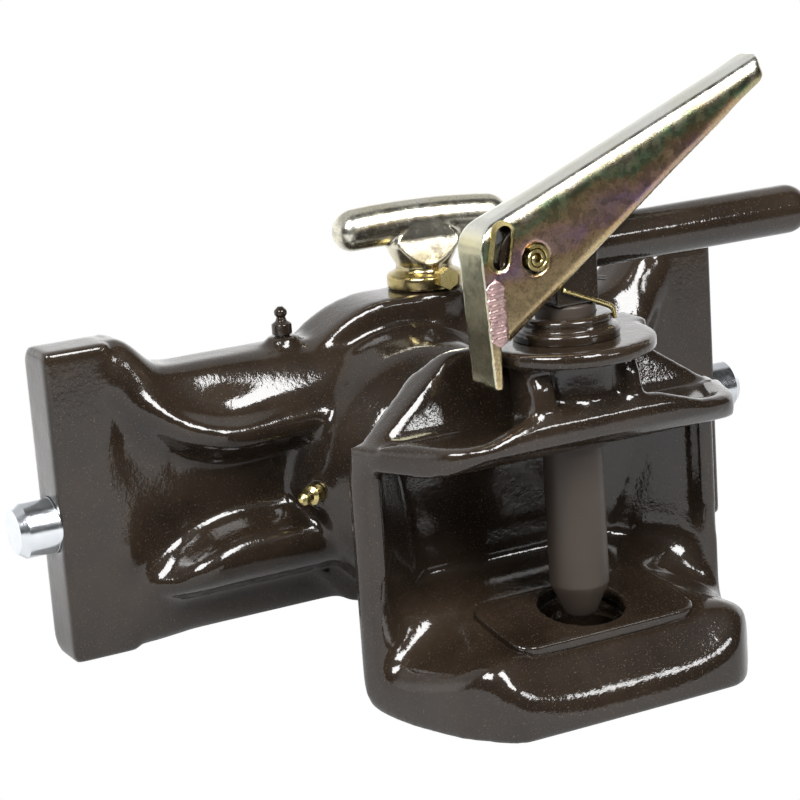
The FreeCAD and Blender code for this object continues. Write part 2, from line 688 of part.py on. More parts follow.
# Coupling pin, hand bar and spring pin, which lift together
pin_r = pin_d / 2
pin_shoulder = cap_top + 5
coupling_pin = turned([
    (0, 0), (pin_r - 7, 0, 3), (pin_r, pin_taper_z - pin_tip_z, 4), (pin_r, pin_shoulder - pin_tip_z, 1.5),
    (0, pin_shoulder - pin_tip_z),
], V(0, pin_y, pin_tip_z), Z_AXIS)
half_bar = bar_d / 2
latch_y = pin_y + latch_offset
tongue_half = latch_half - sheet - 0.5
round_bar = rod(half_bar, V(latch_x, pin_y, bar_z), V(bar_end - half_bar, pin_y, bar_z))
flat_back = latch_y + tongue_half
rear_flat = box(latch_x - bar_d, tongue_end, flat_back, flat_back + 2 * bar_d, bar_z - bar_d, bar_z + bar_d)
round_bar = round_bar.cut(rear_flat)
bar_tip = Part.makeSphere(half_bar, V(bar_end - half_bar, pin_y, bar_z))
bar_head = rod(latch_head_d / 2, V(latch_x, latch_y - tongue_half, bar_z), V(latch_x, latch_y + tongue_half, bar_z))
bar_foot = box(-pin_r + 3, pin_r - 3, latch_y - tongue_half, latch_y + tongue_half, pin_shoulder, bar_z)
hand_bar = fuse(round_bar, bar_tip, bar_head, bar_foot)
spirol_r = spirol_d / 2
spirol_end = latch_half + 3.4
pivot = V(latch_x, latch_y, bar_z)
pivot_bore = rod(spirol_r, pivot - Y_AXIS * 40, pivot + Y_AXIS * 40)
hand_bar = hand_bar.cut(pivot_bore)
spirol_pin = rod(spirol_r, pivot - Y_AXIS * (latch_half + 1), pivot + Y_AXIS * spirol_end)
spirol_pin = spirol_pin.cut(rod(2.2, pivot - Y_AXIS * 40, pivot + Y_AXIS * 40))

# Latch lever: a folded channel over the bar whose tab drops beside the tower's disc
tab_face = -disc_radius - 2.2
tab_low = disc_bottom - 8
web_foot = V(tab_face - 8, 0, bar_z + 16)
lever_tip = V(lever_reach, 0, bar_z + lever_rise)
flange_low = bar_z - 37
lever_side = [
    (tab_face - sheet - 1, tab_low, 1.2), (web_foot.x, web_foot.z, 15), (lever_tip.x, lever_tip.z),
    (lever_tip.x + 5, lever_tip.z - 12, 5), (tab_face + 6, flange_low, 4), (tab_face + 0.5, flange_low),
    (tab_face, flange_low), (tab_face, tab_low, 1.2),
]
lever_outer = prism(lever_side, "xz", latch_y - latch_half, latch_y + latch_half)
web_way = lever_tip - web_foot
web_way.normalize()
web_down = V(web_way.z, 0, -web_way.x)
inner_foot = web_foot + web_down * sheet + web_way * 4.6
inner_tip = lever_tip + web_down * sheet + web_way * 30
lever_inner = prism([
    (tab_face, tab_low - latch_half), (inner_foot.x, inner_foot.z, 8), (inner_tip.x, inner_tip.z),
    (inner_tip.x + 2 * lever_reach, tab_low - latch_half),
], "xz", latch_y - latch_half + sheet, latch_y + latch_half - sheet)
relief_side = [
    (web_foot.x + 4.5, web_foot.z - 19, 4), (web_foot.x + 14, web_foot.z - 19, 4),
    (web_foot.x + 18, web_foot.z + 1.5, 4), (web_foot.x + 8.5, web_foot.z + 1.5, 4),
]
front_relief = prism(relief_side, "xz", latch_y - 2 * latch_half, latch_y - latch_half + sheet + 0.5)
rear_relief = prism(relief_side, "xz", latch_y + latch_half - sheet - 0.5, latch_y + 2 * latch_half)


def channel(half, below, radius):
    """A long bar along the web, with its two upper edges bent over by the radius."""
    deep = 2 * lever_reach
    bar = prism([
        (latch_y - half, -deep), (latch_y + half, -deep),
        (latch_y + half, -below, radius), (latch_y - half, -below, radius),
    ], "yz", -deep, 2 * deep)
    bar.rotate(V(0, 0, 0), Y_AXIS, -math.degrees(math.atan2(web_way.z, web_way.x)))
    bar.translate(web_foot)
    return bar


def end_edge(edge):
    """Tells the two short edges that close the lever's tip."""
    box_of = edge.BoundBox
    return box_of.YLength < 0.01 and box_of.XMin > lever_tip.x - 0.1 and box_of.ZLength > sheet


lever_outer = lever_outer.makeFillet(lever_bend, [e for e in lever_outer.Edges if end_edge(e)])
lever_outer = lever_outer.common(channel(latch_half, 0.0, lever_bend))
lever_inner = lever_inner.common(channel(latch_half - sheet, sheet, lever_bend - sheet))
latch_lever = lever_outer.cut(lever_inner).cut(front_relief).cut(rear_relief)
latch_lever = latch_lever.cut(rod(spirol_r + running, pivot - Y_AXIS * bar_d, pivot + Y_AXIS * bar_d))
latch_lever = latch_lever.removeSplitter()

# Return spring of the latch, wound on the spring pin outside the rear flange
spring_wire = 1.1
ring_y = latch_half + spring_wire + 0.3
ring_r = spirol_r + spring_wire + 0.3
spring_ring = Part.makeTorus(ring_r, spring_wire, pivot + Y_AXIS * ring_y, Y_AXIS)
leg_start = pivot + V(0, ring_y, -ring_r)
leg_end = leg_start + V(50, 0, -11)
latch_spring = fuse(spring_ring, rod(spring_wire, leg_start, leg_end))

nodes = {
    "carrier": carrier,
    "hub_bush_front": hub_bush_front,
    "hub_bush_rear": hub_bush_rear,
    "top_grease_nipple": top_grease_nipple,
    "front_grease_nipple": front_grease_nipple,
    "lock_spring_left": lock_spring_left,
    "lock_spring_right": lock_spring_right,
    "locking_pin_left": locking_pin_left,
    "locking_pin_right": locking_pin_right,
    "draw_arm_left": draw_arm_left,
    "draw_arm_right": draw_arm_right,
    "draw_nut_left": draw_nut_left,
    "draw_nut_right": draw_nut_right,
    "lock_shaft": lock_shaft,
    "drive_pins": drive_pins,
    "lock_handle": lock_handle,
    "handle_bolt": handle_bolt,
    "jaw": jaw,
    "wear_plate": wear_plate,
    "lower_pin_bush": lower_pin_bush,
    "upper_pin_bush": upper_pin_bush,
    "tower_cap": tower_cap,
    "shank_washer": shank_washer,
    "castle_nut": castle_nut,
    "split_pin": split_pin,
    "coupling_pin": coupling_pin,
    "hand_bar": hand_bar,
    "spirol_pin": spirol_pin,
    "latch_lever": latch_lever,
    "latch_spring": latch_spring,
}
os.makedirs("parts", exist_ok=True)
for name, shape in nodes.items():
    shape.exportStep("parts/" + name + ".step")
    print(name, len(shape.Solids), shape.isValid(), round(shape.Volume / 1000.0, 2))
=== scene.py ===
import json
import math

import bmesh
import bpy
import numpy as np
from mathutils import Matrix, Vector


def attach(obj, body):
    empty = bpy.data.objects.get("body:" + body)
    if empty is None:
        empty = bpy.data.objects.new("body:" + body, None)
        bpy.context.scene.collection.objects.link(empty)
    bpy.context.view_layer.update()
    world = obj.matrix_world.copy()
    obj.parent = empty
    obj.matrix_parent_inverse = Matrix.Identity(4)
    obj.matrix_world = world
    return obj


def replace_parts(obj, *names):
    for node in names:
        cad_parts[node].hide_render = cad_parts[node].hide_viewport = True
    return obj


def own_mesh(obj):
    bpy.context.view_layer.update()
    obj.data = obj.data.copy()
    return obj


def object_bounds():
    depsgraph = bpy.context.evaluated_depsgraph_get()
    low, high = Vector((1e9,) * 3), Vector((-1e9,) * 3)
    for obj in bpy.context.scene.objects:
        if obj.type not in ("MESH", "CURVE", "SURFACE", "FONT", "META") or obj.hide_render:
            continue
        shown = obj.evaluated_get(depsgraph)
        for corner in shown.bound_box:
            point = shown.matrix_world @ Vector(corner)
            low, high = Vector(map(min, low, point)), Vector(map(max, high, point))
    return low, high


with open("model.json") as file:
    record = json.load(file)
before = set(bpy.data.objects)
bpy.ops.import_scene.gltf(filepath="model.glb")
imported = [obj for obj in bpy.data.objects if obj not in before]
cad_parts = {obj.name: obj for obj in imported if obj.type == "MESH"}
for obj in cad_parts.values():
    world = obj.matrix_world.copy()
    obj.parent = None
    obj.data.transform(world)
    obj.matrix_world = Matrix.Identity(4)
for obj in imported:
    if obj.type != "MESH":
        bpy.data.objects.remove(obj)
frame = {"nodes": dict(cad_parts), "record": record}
cad_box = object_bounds()
nodes = frame["nodes"]
scene = bpy.context.scene
scene.view_settings.view_transform = "Standard"

# Camera at the photograph's angle
IMAGE = 800
FOCAL_PX = 2422.28
CENTRE_PX = (374.62, 434.58)
AZIMUTH = -26.753
ELEVATION = 14.587
ROLL = -4.247
DISTANCE = 1.25666
AIM = Vector((-0.02055, -0.016, 0.01695))


def add_camera():
    a = math.radians(AZIMUTH)
    e = math.radians(ELEVATION)
    r = math.radians(ROLL)
    back = Vector((math.sin(a) * math.cos(e), -math.cos(a) * math.cos(e), math.sin(e)))
    right = (-back).cross(Vector((0, 0, 1))).normalized()
    up = right.cross(-back)
    right, up = (
        math.cos(r) * right + math.sin(r) * up,
        math.cos(r) * up - math.sin(r) * right,
    )
    data = bpy.data.cameras.new("camera")
    data.sensor_width = 36
    data.lens = FOCAL_PX * data.sensor_width / IMAGE
    data.shift_x = 0.5 - CENTRE_PX[0] / IMAGE
    data.shift_y = CENTRE_PX[1] / IMAGE - 0.5
    data.clip_end = 50
    camera = bpy.data.objects.new("camera", data)
    turn = Matrix((right, up, back)).transposed()
    camera.matrix_world = Matrix.Translation(AIM + back * DISTANCE) @ turn.to_4x4()
    scene.collection.objects.link(camera)
    scene.camera = camera


add_camera()


# Node helpers for the materials and the world
def math_node(tree, kind, a, b):
    """A maths node in a node tree; each input is a number or a socket."""
    node = tree.nodes.new("ShaderNodeMath")
    node.operation = kind
    for socket, value in zip(node.inputs, (a, b)):
        if isinstance(value, (int, float)):
            socket.default_value = value
        else:
            tree.links.new(value, socket)
    return node.outputs[0]


def map_range(tree, socket, low, high, from_low, from_high):
    node = tree.nodes.new("ShaderNodeMapRange")
    limits = {"From Min": from_low, "From Max": from_high, "To Min": low, "To Max": high}
    for key, value in limits.items():
        node.inputs[key].default_value = value
    tree.links.new(socket, node.inputs["Value"])
    return node


class Tree:
    """A Principled material with its nodes."""

    def __init__(self, name):
        self.material = bpy.data.materials.new(name)
        self.material.use_nodes = True
        self.nodes = self.material.node_tree.nodes
        self.links = self.material.node_tree.links
        self.nodes.clear()
        self.out = self.nodes.new("ShaderNodeOutputMaterial")
        self.shader = self.nodes.new("ShaderNodeBsdfPrincipled")
        self.links.new(self.shader.outputs[0], self.out.inputs["Surface"])
        place = self.nodes.new("ShaderNodeTexCoord")
        self.coords = place.outputs["Object"]
        self.normals = place.outputs["Normal"]

    def set(self, **values):
        for key, value in values.items():
            self.shader.inputs[key.replace("_", " ")].default_value = value

    def link(self, socket, target):
        self.links.new(socket, self.shader.inputs[target])

    def noise(self, scale, detail=3.0, rough=0.55, stretch=None):
        node = self.nodes.new("ShaderNodeTexNoise")
        node.inputs["Scale"].default_value = scale
        node.inputs["Detail"].default_value = detail
        node.inputs["Roughness"].default_value = rough
        place = self.coords
        if stretch:
            mapping = self.nodes.new("ShaderNodeMapping")
            mapping.inputs["Scale"].default_value = stretch
            self.links.new(self.coords, mapping.inputs["Vector"])
            place = mapping.outputs[0]
        self.links.new(place, node.inputs["Vector"])
        return node.outputs["Fac"]

    def cells(self, scale):
        node = self.nodes.new("ShaderNodeTexVoronoi")
        node.inputs["Scale"].default_value = scale
        self.links.new(self.coords, node.inputs["Vector"])
        return node.outputs["Distance"]

    def ramp(self, socket, *stops):
        node = self.nodes.new("ShaderNodeValToRGB")
        points = node.color_ramp.elements
        while len(points) < len(stops):
            points.new(0.5)
        for point, (position, colour) in zip(points, stops):
            point.position = position
            point.color = (*colour, 1)
        self.links.new(socket, node.inputs["Fac"])
        return node.outputs["Color"]

    def span(self, socket, low, high, from_low=0.0, from_high=1.0):
        return map_range(self.material.node_tree, socket, low, high, from_low, from_high).outputs[0]

    def math(self, kind, a, b):
        return math_node(self.material.node_tree, kind, a, b)

    def along(self, way, start):
        """Distance of a point from start, measured along a direction."""
        node = self.nodes.new("ShaderNodeVectorMath")
        node.operation = "DOT_PRODUCT"
        node.inputs[1].default_value = way
        self.links.new(self.coords, node.inputs[0])
        return self.math("SUBTRACT", node.outputs["Value"], Vector(way).dot(Vector(start)))

    def facing(self, axis):
        """How far the surface faces an axis of the object, whatever the sign."""
        parts = self.nodes.new("ShaderNodeSeparateXYZ")
        self.links.new(self.normals, parts.inputs[0])
        return self.math("ABSOLUTE", parts.outputs[axis], 0)

    def mix(self, share, a, b):
        node = self.nodes.new("ShaderNodeMix")
        node.data_type = "RGBA"
        for socket, value in ((node.inputs["Factor"], share), (node.inputs[6], a), (node.inputs[7], b)):
            if isinstance(value, (int, float)):
                socket.default_value = value
            elif isinstance(value, tuple):
                socket.default_value = (*value, 1)
            else:
                self.links.new(value, socket)
        return node.outputs[2]

    def bump(self, *layers):
        """Each layer is (height, depth in metres, strength); all feed one normal."""
        normal = None
        for height, depth, strength in layers:
            node = self.nodes.new("ShaderNodeBump")
            node.inputs["Distance"].default_value = depth
            node.inputs["Strength"].default_value = strength
            self.links.new(height, node.inputs["Height"])
            if normal is not None:
                self.links.new(normal, node.inputs["Normal"])
            normal = node.outputs[0]
        self.link(normal, "Normal")
        return normal


def enamel(name, dark, pale, rough_low, rough_high, coat, gloss, grain):
    """Glossy dark paint over a cast skin."""
    t = Tree(name)
    broad = t.noise(22, 3)
    fine = t.noise(900, 2)
    pits = t.cells(420)
    tone = t.mix(t.span(broad, 0, 1, 0.35, 0.65), dark, pale)
    specks = t.span(t.noise(1300, 2, 0.5), 0, 0.8 * grain ** 2, 0.63, 0.72)
    t.link(t.mix(specks, tone, tuple(4 * c for c in pale)), "Base Color")
    patchy = t.noise(130, 4, 0.65)
    t.link(t.span(patchy, rough_low, rough_high, 0.35, 0.65), "Roughness")
    t.set(IOR=1.5, Specular_IOR_Level=0.06, Coat_Weight=coat, Coat_Roughness=gloss, Coat_IOR=1.5)
    wavy = t.noise(75, 2)
    peel = t.noise(330, 3, 0.55)
    normal = t.bump(
        (wavy, 0.001, 0.13 * grain), (peel, 0.0004, 0.16 * grain),
        (pits, 0.0003, 0.08 * grain), (fine, 0.0002, 0.2 * grain),
    )
    t.links.new(normal, t.shader.inputs["Coat Normal"])
    return t.material


def zinc(name, low, high, rough_low, rough_high, turning=None):
    """Plated steel, mottled, with fine lathe lines along one axis where it was turned."""
    t = Tree(name)
    mottle = t.noise(110, 4, 0.55)
    t.link(t.mix(t.span(mottle, 0, 1, 0.3, 0.7), low, high), "Base Color")
    t.link(t.span(t.noise(300, 4), rough_low, rough_high, 0.3, 0.7), "Roughness")
    t.set(Metallic=1.0)
    layers = [(t.noise(700, 3), 0.0002, 0.06)]
    if turning:
        layers.append((t.noise(1.0, 2, 0.5, turning), 0.0001, 0.2))
    t.bump(*layers)
    return t.material


def yellow_zinc():
    """Yellow-passivated lever whose web is painted near white: a painted reflection of the bright surround.

    At the top of the flanges a pale stop paints the highlight along the bend; below it the flanges run from
    olive by green, brown and violet to gold."""
    t = Tree("yellow_zinc")
    clouds = t.noise(45, 4, 0.65)
    patches = t.noise(30, 3)
    grains = t.noise(900, 3, 0.7)
    depth = t.along(WEB_DOWN, WEB_FOOT)
    depth = t.math("ADD", depth, t.span(clouds, -0.006, 0.006, 0.3, 0.7))
    # The ramp's top stop, pale, is a painted highlight along the bend; below it the colours run from olive by
    # green, brown and violet to gold.
    film_and_highlight = t.ramp(
        t.span(depth, 0, 1, 0.0, 0.036),
        (0.00, (0.84, 0.82, 0.72)), (0.15, (0.44, 0.40, 0.28)),
        (0.28, (0.19, 0.30, 0.17)), (0.40, (0.42, 0.30, 0.16)),
        (0.52, (0.50, 0.31, 0.25)), (0.68, (0.37, 0.24, 0.33)),
        (0.84, (0.50, 0.32, 0.18)), (1.00, (0.54, 0.42, 0.24)),
    )
    film_and_highlight = t.mix(t.span(patches, 0, 0.75, 0.45, 0.62), film_and_highlight, (0.46, 0.34, 0.18))
    rim = t.along(EDGE_UP, EDGE_FOOT)
    film_and_highlight = t.mix(t.span(rim, 0.9, 0.0, 0.001, 0.006), film_and_highlight, (0.74, 0.60, 0.33))
    # The web's near-white colour is a painted reflection of the bright surround.
    web = t.mix(t.span(clouds, 0, 1, 0.35, 0.65), (0.97, 0.98, 0.93), (0.92, 0.92, 0.82))
    end = t.mix(t.span(clouds, 0, 1, 0.35, 0.65), (0.40, 0.41, 0.29), (0.56, 0.52, 0.34))
    # Faces get the web's painted reflection, the ends' colour or the flanges' colours by which way they face.
    side = t.span(t.facing("Y"), 0, 1, 0.45, 0.85)
    fore = t.span(t.facing("X"), 0, 1, 0.75, 0.95)
    shade = t.mix(side, t.mix(fore, web, end), film_and_highlight)
    speckle = t.math("MULTIPLY", t.span(grains, 0, 0.6, 0.45, 0.68), t.span(side, 0.15, 1))
    t.link(t.mix(speckle, shade, (0.17, 0.12, 0.08)), "Base Color")
    t.link(t.math("ADD", t.span(t.noise(220, 4), 0.13, 0.24, 0.3, 0.7), t.span(side, 0, 0.09)), "Roughness")
    t.set(Metallic=1.0)
    t.bump((t.noise(60, 2), 0.0006, 0.06), (grains, 0.0002, 0.2))
    return t.material


def straw_zinc():
    """Pale straw plating that turns olive on the handle's foot."""
    t = Tree("straw_zinc")
    clouds = t.noise(70, 4, 0.6)
    grains = t.noise(800, 3, 0.65)
    pale = t.mix(t.span(clouds, 0, 1, 0.35, 0.65), (0.74, 0.73, 0.64), (0.64, 0.60, 0.46))
    olive = t.mix(t.span(clouds, 0, 1, 0.35, 0.65), (0.46, 0.38, 0.15), (0.30, 0.23, 0.12))
    height = t.along((0, 0, 1), (0, 0, HANDLE_FOOT))
    height = t.math("ADD", height, t.span(clouds, -0.004, 0.004, 0.3, 0.7))
    shade = t.mix(t.span(height, 0, 1, 0.008, 0.024), olive, pale)
    t.link(t.mix(t.span(grains, 0, 0.4, 0.45, 0.68), shade, (0.22, 0.18, 0.12)), "Base Color")
    t.link(t.span(t.noise(220, 4), 0.17, 0.3, 0.3, 0.7), "Roughness")
    t.set(Metallic=1.0)
    t.bump((t.noise(90, 2), 0.0006, 0.1), (grains, 0.0002, 0.2))
    return t.material


# The lever's web line and its flange's lower edge
WEB_FOOT = (-0.0512, 0, 0.149)
WEB_DOWN = (0.3682, 0, -0.9297)
WEB_WAY = Vector((0.9297, 0, 0.3682))
EDGE_FOOT = (-0.0372, 0, 0.096)
EDGE_UP = (-0.5799, 0, 0.8147)

# The lock handle
HANDLE_FOOT = 0.0854
HANDLE_TURN = math.radians(-11)
HANDLE_REACH = 0.0485
HANDLE_BOW = 0.0030
LOCK_SHAFT = (0.028, 0.008, 0)

MATERIALS = {
    "black_paint": enamel("black_paint", (0.0092, 0.0060, 0.0038), (0.0180, 0.0120, 0.0076),
                          rough_low=0.35, rough_high=0.5, coat=1.0, gloss=0.045, grain=1.0),
    "pin_paint": enamel("pin_paint", (0.030, 0.023, 0.018), (0.038, 0.029, 0.023),
                        rough_low=0.45, rough_high=0.6, coat=0.5, gloss=0.4, grain=0.35),
    "bright_zinc": zinc("bright_zinc", (0.68, 0.72, 0.76), (0.78, 0.81, 0.84), 0.16, 0.24,
                        turning=(600, 1, 1)),
    "pale_zinc": straw_zinc(),
    "yellow_zinc": yellow_zinc(),
    "olive_zinc": zinc("olive_zinc", (0.52, 0.41, 0.15), (0.78, 0.66, 0.32), 0.2, 0.32),
    "rose_weld": zinc("rose_weld", (0.44, 0.31, 0.27), (0.66, 0.44, 0.45), 0.3, 0.44),
    "plain_steel": zinc("plain_steel", (0.30, 0.29, 0.28), (0.44, 0.43, 0.41), 0.28, 0.42),
    "spring_steel": zinc("spring_steel", (0.18, 0.17, 0.16), (0.30, 0.28, 0.26), 0.25, 0.4),
    "bronze": zinc("bronze", (0.46, 0.32, 0.15), (0.60, 0.45, 0.22), 0.25, 0.4),
}


def paint(obj, slot, look=None):
    obj.data.materials.clear()
    obj.data.materials.append(MATERIALS[look or slot])


def add_piece(name, mesh, body, slot, look=None):
    obj = bpy.data.objects.new(name, mesh)
    scene.collection.objects.link(obj)
    mesh.polygons.foreach_set("use_smooth", [True] * len(mesh.polygons))
    paint(obj, slot, look)
    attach(obj, body)
    return obj


def mesh_of(name, points, faces):
    mesh = bpy.data.meshes.new(name)
    mesh.from_pydata([tuple(q) for q in points], [], faces)
    mesh.validate()
    build = bmesh.new()
    build.from_mesh(mesh)
    bmesh.ops.recalc_face_normals(build, faces=build.faces)
    build.to_mesh(mesh)
    build.free()
    return mesh


def ring_faces(rings, sides, closed=False):
    """Faces of a skin over equal rings of points, with flat ends unless it closes on itself."""
    faces = []
    for i in range(rings if closed else rings - 1):
        for j in range(sides):
            a, b = i * sides, (i + 1) % rings * sides
            k = (j + 1) % sides
            faces.append((a + j, a + k, b + k, b + j))
    if not closed:
        faces.append(tuple(reversed(range(sides))))
        faces.append(tuple(range((rings - 1) * sides, rings * sides)))
    return faces


def bowed(points, steps):
    """A smooth line through the points."""
    points = [Vector(q) for q in points]
    line = []
    for i in range(len(points) - 1):
        a, b = points[max(i - 1, 0)], points[i]
        c, d = points[i + 1], points[min(i + 2, len(points) - 1)]
        for k in range(steps):
            t = k / steps
            line.append(0.5 * (2 * b + (c - a) * t + (2 * a - 5 * b + 4 * c - d) * t ** 2
                               + (3 * b - a - 3 * c + d) * t ** 3))
    return line + [points[-1]]


def wire(name, line, radius, sides=12):
    """A round wire along a line of points."""
    points = []
    across = (line[1] - line[0]).orthogonal().normalized()
    for i, place in enumerate(line):
        way = (line[min(i + 1, len(line) - 1)] - line[max(i - 1, 0)]).normalized()
        across = (across - way * across.dot(way)).normalized()
        beside = way.cross(across)
        for j in range(sides):
            turn = 2 * math.pi * j / sides
            points.append(place + radius * (math.cos(turn) * across + math.sin(turn) * beside))
    return mesh_of(name, points, ring_faces(len(line), sides))


def crisp(obj, angle=32):
    """Keeps the piece's sharper edges sharp under smooth shading."""
    split = obj.modifiers.new("split", "EDGE_SPLIT")
    split.split_angle = math.radians(angle)
    return obj


def baked(obj):
    """The object's mesh with its modifiers carried out."""
    graph = bpy.context.evaluated_depsgraph_get()
    graph.update()
    mesh = bpy.data.meshes.new_from_object(obj.evaluated_get(graph))
    obj.modifiers.clear()
    obj.data = mesh
    return mesh


def bore_rods(radius, start, end, sides=64):
    """Two rods along X, one on each side, as one mesh."""
    build = bmesh.new()
    for side in (-1, 1):
        points = []
        for x in (side * start, side * end):
            for j in range(sides):
                turn = 2 * math.pi * j / sides
                points.append((x, radius * math.cos(turn), radius * math.sin(turn)))
        build.from_mesh(mesh_of("rod", points, ring_faces(2, sides)))
    mesh = bpy.data.meshes.new("bore_rods")
    build.to_mesh(mesh)
    build.free()
    return mesh


def joined(*meshes):
    build = bmesh.new()
    for mesh in meshes:
        build.from_mesh(mesh)
    mesh = bpy.data.meshes.new("joined")
    build.to_mesh(mesh)
    build.free()
    return mesh


def softened(node, name, voxel, passes, shape=None, weight=None, blend=None, blend_passes=0,
             plug=None, bore=None):
    """A finer skin of a CAD node whose edges are rounded as a casting's or pressing's are.

    shape moves a point of the raw skin, weight is its share of the rounding, and blend that of a
    second, longer rounding. Where a bore leaves only a thin wall, it is plugged while the skin is
    made and cut again after."""
    source = nodes[node].data
    obj = bpy.data.objects.new(name, joined(source, plug) if plug else source.copy())
    scene.collection.objects.link(obj)
    remesh = obj.modifiers.new("skin", "REMESH")
    remesh.mode = "VOXEL"
    remesh.voxel_size = voxel
    mesh = baked(obj)
    if shape:
        for vertex in mesh.vertices:
            vertex.co = shape(vertex.co.copy())
    smooth = obj.modifiers.new("round", "SMOOTH")
    smooth.factor = 0.5
    smooth.iterations = passes
    if weight:
        group = obj.vertex_groups.new(name="round")
        for vertex in mesh.vertices:
            group.add([vertex.index], weight(vertex.co), "REPLACE")
        smooth.vertex_group = "round"
    if blend:
        group = obj.vertex_groups.new(name="blend")
        for vertex in mesh.vertices:
            group.add([vertex.index], blend(vertex.co), "REPLACE")
        flow = obj.modifiers.new("flow", "SMOOTH")
        flow.factor = 0.5
        flow.iterations = blend_passes
        flow.vertex_group = "blend"
    mesh = baked(obj)
    obj.vertex_groups.clear()
    if bore:
        cutter = bpy.data.objects.new("bore", bore)
        scene.collection.objects.link(cutter)
        cut = obj.modifiers.new("bore", "BOOLEAN")
        cut.operation = "DIFFERENCE"
        cut.object = cutter
        cut.solver = "EXACT"
        mesh = baked(obj)
        bpy.data.objects.remove(cutter)
        mesh.polygons.foreach_set("material_index", [0] * len(mesh.polygons))
        crisp(obj, 40)
    mesh.polygons.foreach_set("use_smooth", [True] * len(mesh.polygons))
    paint(obj, slot_of[node])
    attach(obj, body_of[node])
    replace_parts(obj, node)
    return obj


slot_of = {p["node"]: p["material_slot"] for p in frame["record"]["subparts"]}
body_of = {n: body for body, members in frame["record"]["behaviour"]["bodies"].items() for n in members}

# CAD nodes that stay: smooth shading and their finish
LOOKS = {
    "coupling_pin": "pin_paint", "upper_pin_bush": "pin_paint", "lower_pin_bush": "black_paint",
    "top_grease_nipple": "black_paint", "front_grease_nipple": "olive_zinc",
    "handle_bolt": "olive_zinc",
}
for name, node in nodes.items():
    paint(node, slot_of[name], LOOKS.get(name))
    weld = node.modifiers.new("weld", "WELD")
    weld.merge_threshold = 1e-6
    crisp(node)
    node.data.polygons.foreach_set("use_smooth", [True] * len(node.data.polygons))

# Castings and other pieces with rounded edges
PLATE_EDGE = 0.160
TOWER_FOOT = 0.080
NECK_FRONT = -0.055
LIP_TOP = -0.012
LIP_RISE = 0.0075
TIP_GAIN = 0.0045


def eased(value, low, high):
    """0 below low, 1 above high and even between."""
    return min(1.0, max(0.0, (value - low) / (high - low)))


def carrier_weight(co):
    """Less rounding on the guide plates."""
    return 0.35 if abs(co.x) > PLATE_EDGE else 1.0


def jaw_weight(co):
    """Less rounding on the tower and the neck."""
    return 0.4 if co.z > TOWER_FOOT or co.y > NECK_FRONT else 1.0


def carrier_blend(co):
    """The web's run into the guide plates, on the front only."""
    if co.y > -0.010 or co.y < -0.021:
        return 0.0
    reach = abs(co.x)
    inside = eased(reach, 0.134, 0.144) * (1 - eased(reach, 0.174, 0.186))
    return inside * eased(co.z, -0.060, -0.052) * (1 - eased(co.z, 0.030, 0.042))


def jaw_blend(co):
    """The lower lip's upper side, outside the wear plate's pocket."""
    if co.z > LIP_TOP or co.y > -0.128:
        return 0.0
    reach = abs(co.x)
    above = eased(co.z, -0.0775, -0.071)
    apart = max(eased(reach, 0.0535, 0.0600), eased(-co.y, 0.2085, 0.2150), eased(co.y, -0.152, -0.146))
    inside = 1 - eased(reach, 0.0925, 0.0965) * eased(co.y, -0.170, -0.160)
    return above * apart * inside * (1 - eased(co.z, LIP_TOP - 0.010, LIP_TOP))


def bowed_handle(co):
    """The cross bar bowed upwards, and the hub narrowed into it from both sides."""
    run = Vector((math.cos(HANDLE_TURN), math.sin(HANDLE_TURN), 0))
    side = Vector((-run.y, run.x, 0))
    from_shaft = co - Vector(LOCK_SHAFT)
    across = from_shaft.dot(side)
    hub_half, bar_half = 0.0150, 0.0108
    limit = hub_half + (bar_half - hub_half) * eased(co.z, 0.098, 0.110)
    if co.z > 0.095 and abs(across) > limit:
        co -= side * (across - math.copysign(limit, across))
    share = max(0.0, 1 - (from_shaft.dot(run) / HANDLE_REACH) ** 2)
    co.z += HANDLE_BOW * share * eased(co.z, 0.100, 0.112)
    return co


def raise_lip_corners(mesh):
    """Let the lower lip's front edge climb from its middle to both front corners."""
    for vertex in mesh.vertices:
        co = vertex.co
        if co.z < LIP_TOP and co.y < -0.170:
            side = eased(abs(co.x), 0.018, 0.062)
            front = eased(-co.y, 0.180, 0.216)
            co.z += LIP_RISE * side ** 2 * front ** 2 * eased(co.z, -0.0795, -0.0690)


def bend_weight(co):
    """Most on the lever's two long bends, little at its slot and less at its tip."""
    from_foot = co - Vector(WEB_FOOT)
    reach = from_foot.dot(WEB_WAY)
    depth = from_foot.dot(Vector(WEB_DOWN))
    past_slot = eased(reach, 0.018, 0.034)
    before_tip = 1 - 0.8 * eased(reach, 0.145, 0.158)
    return max(0.012, past_slot * before_tip * (1 - eased(depth, 0.014, 0.019)))


def lengthened_tip(co):
    """What the rounding takes off the lever's tip is given to it first."""
    reach = (co - Vector(WEB_FOOT)).dot(WEB_WAY)
    return co + WEB_WAY * (TIP_GAIN * eased(reach, 0.100, 0.165))


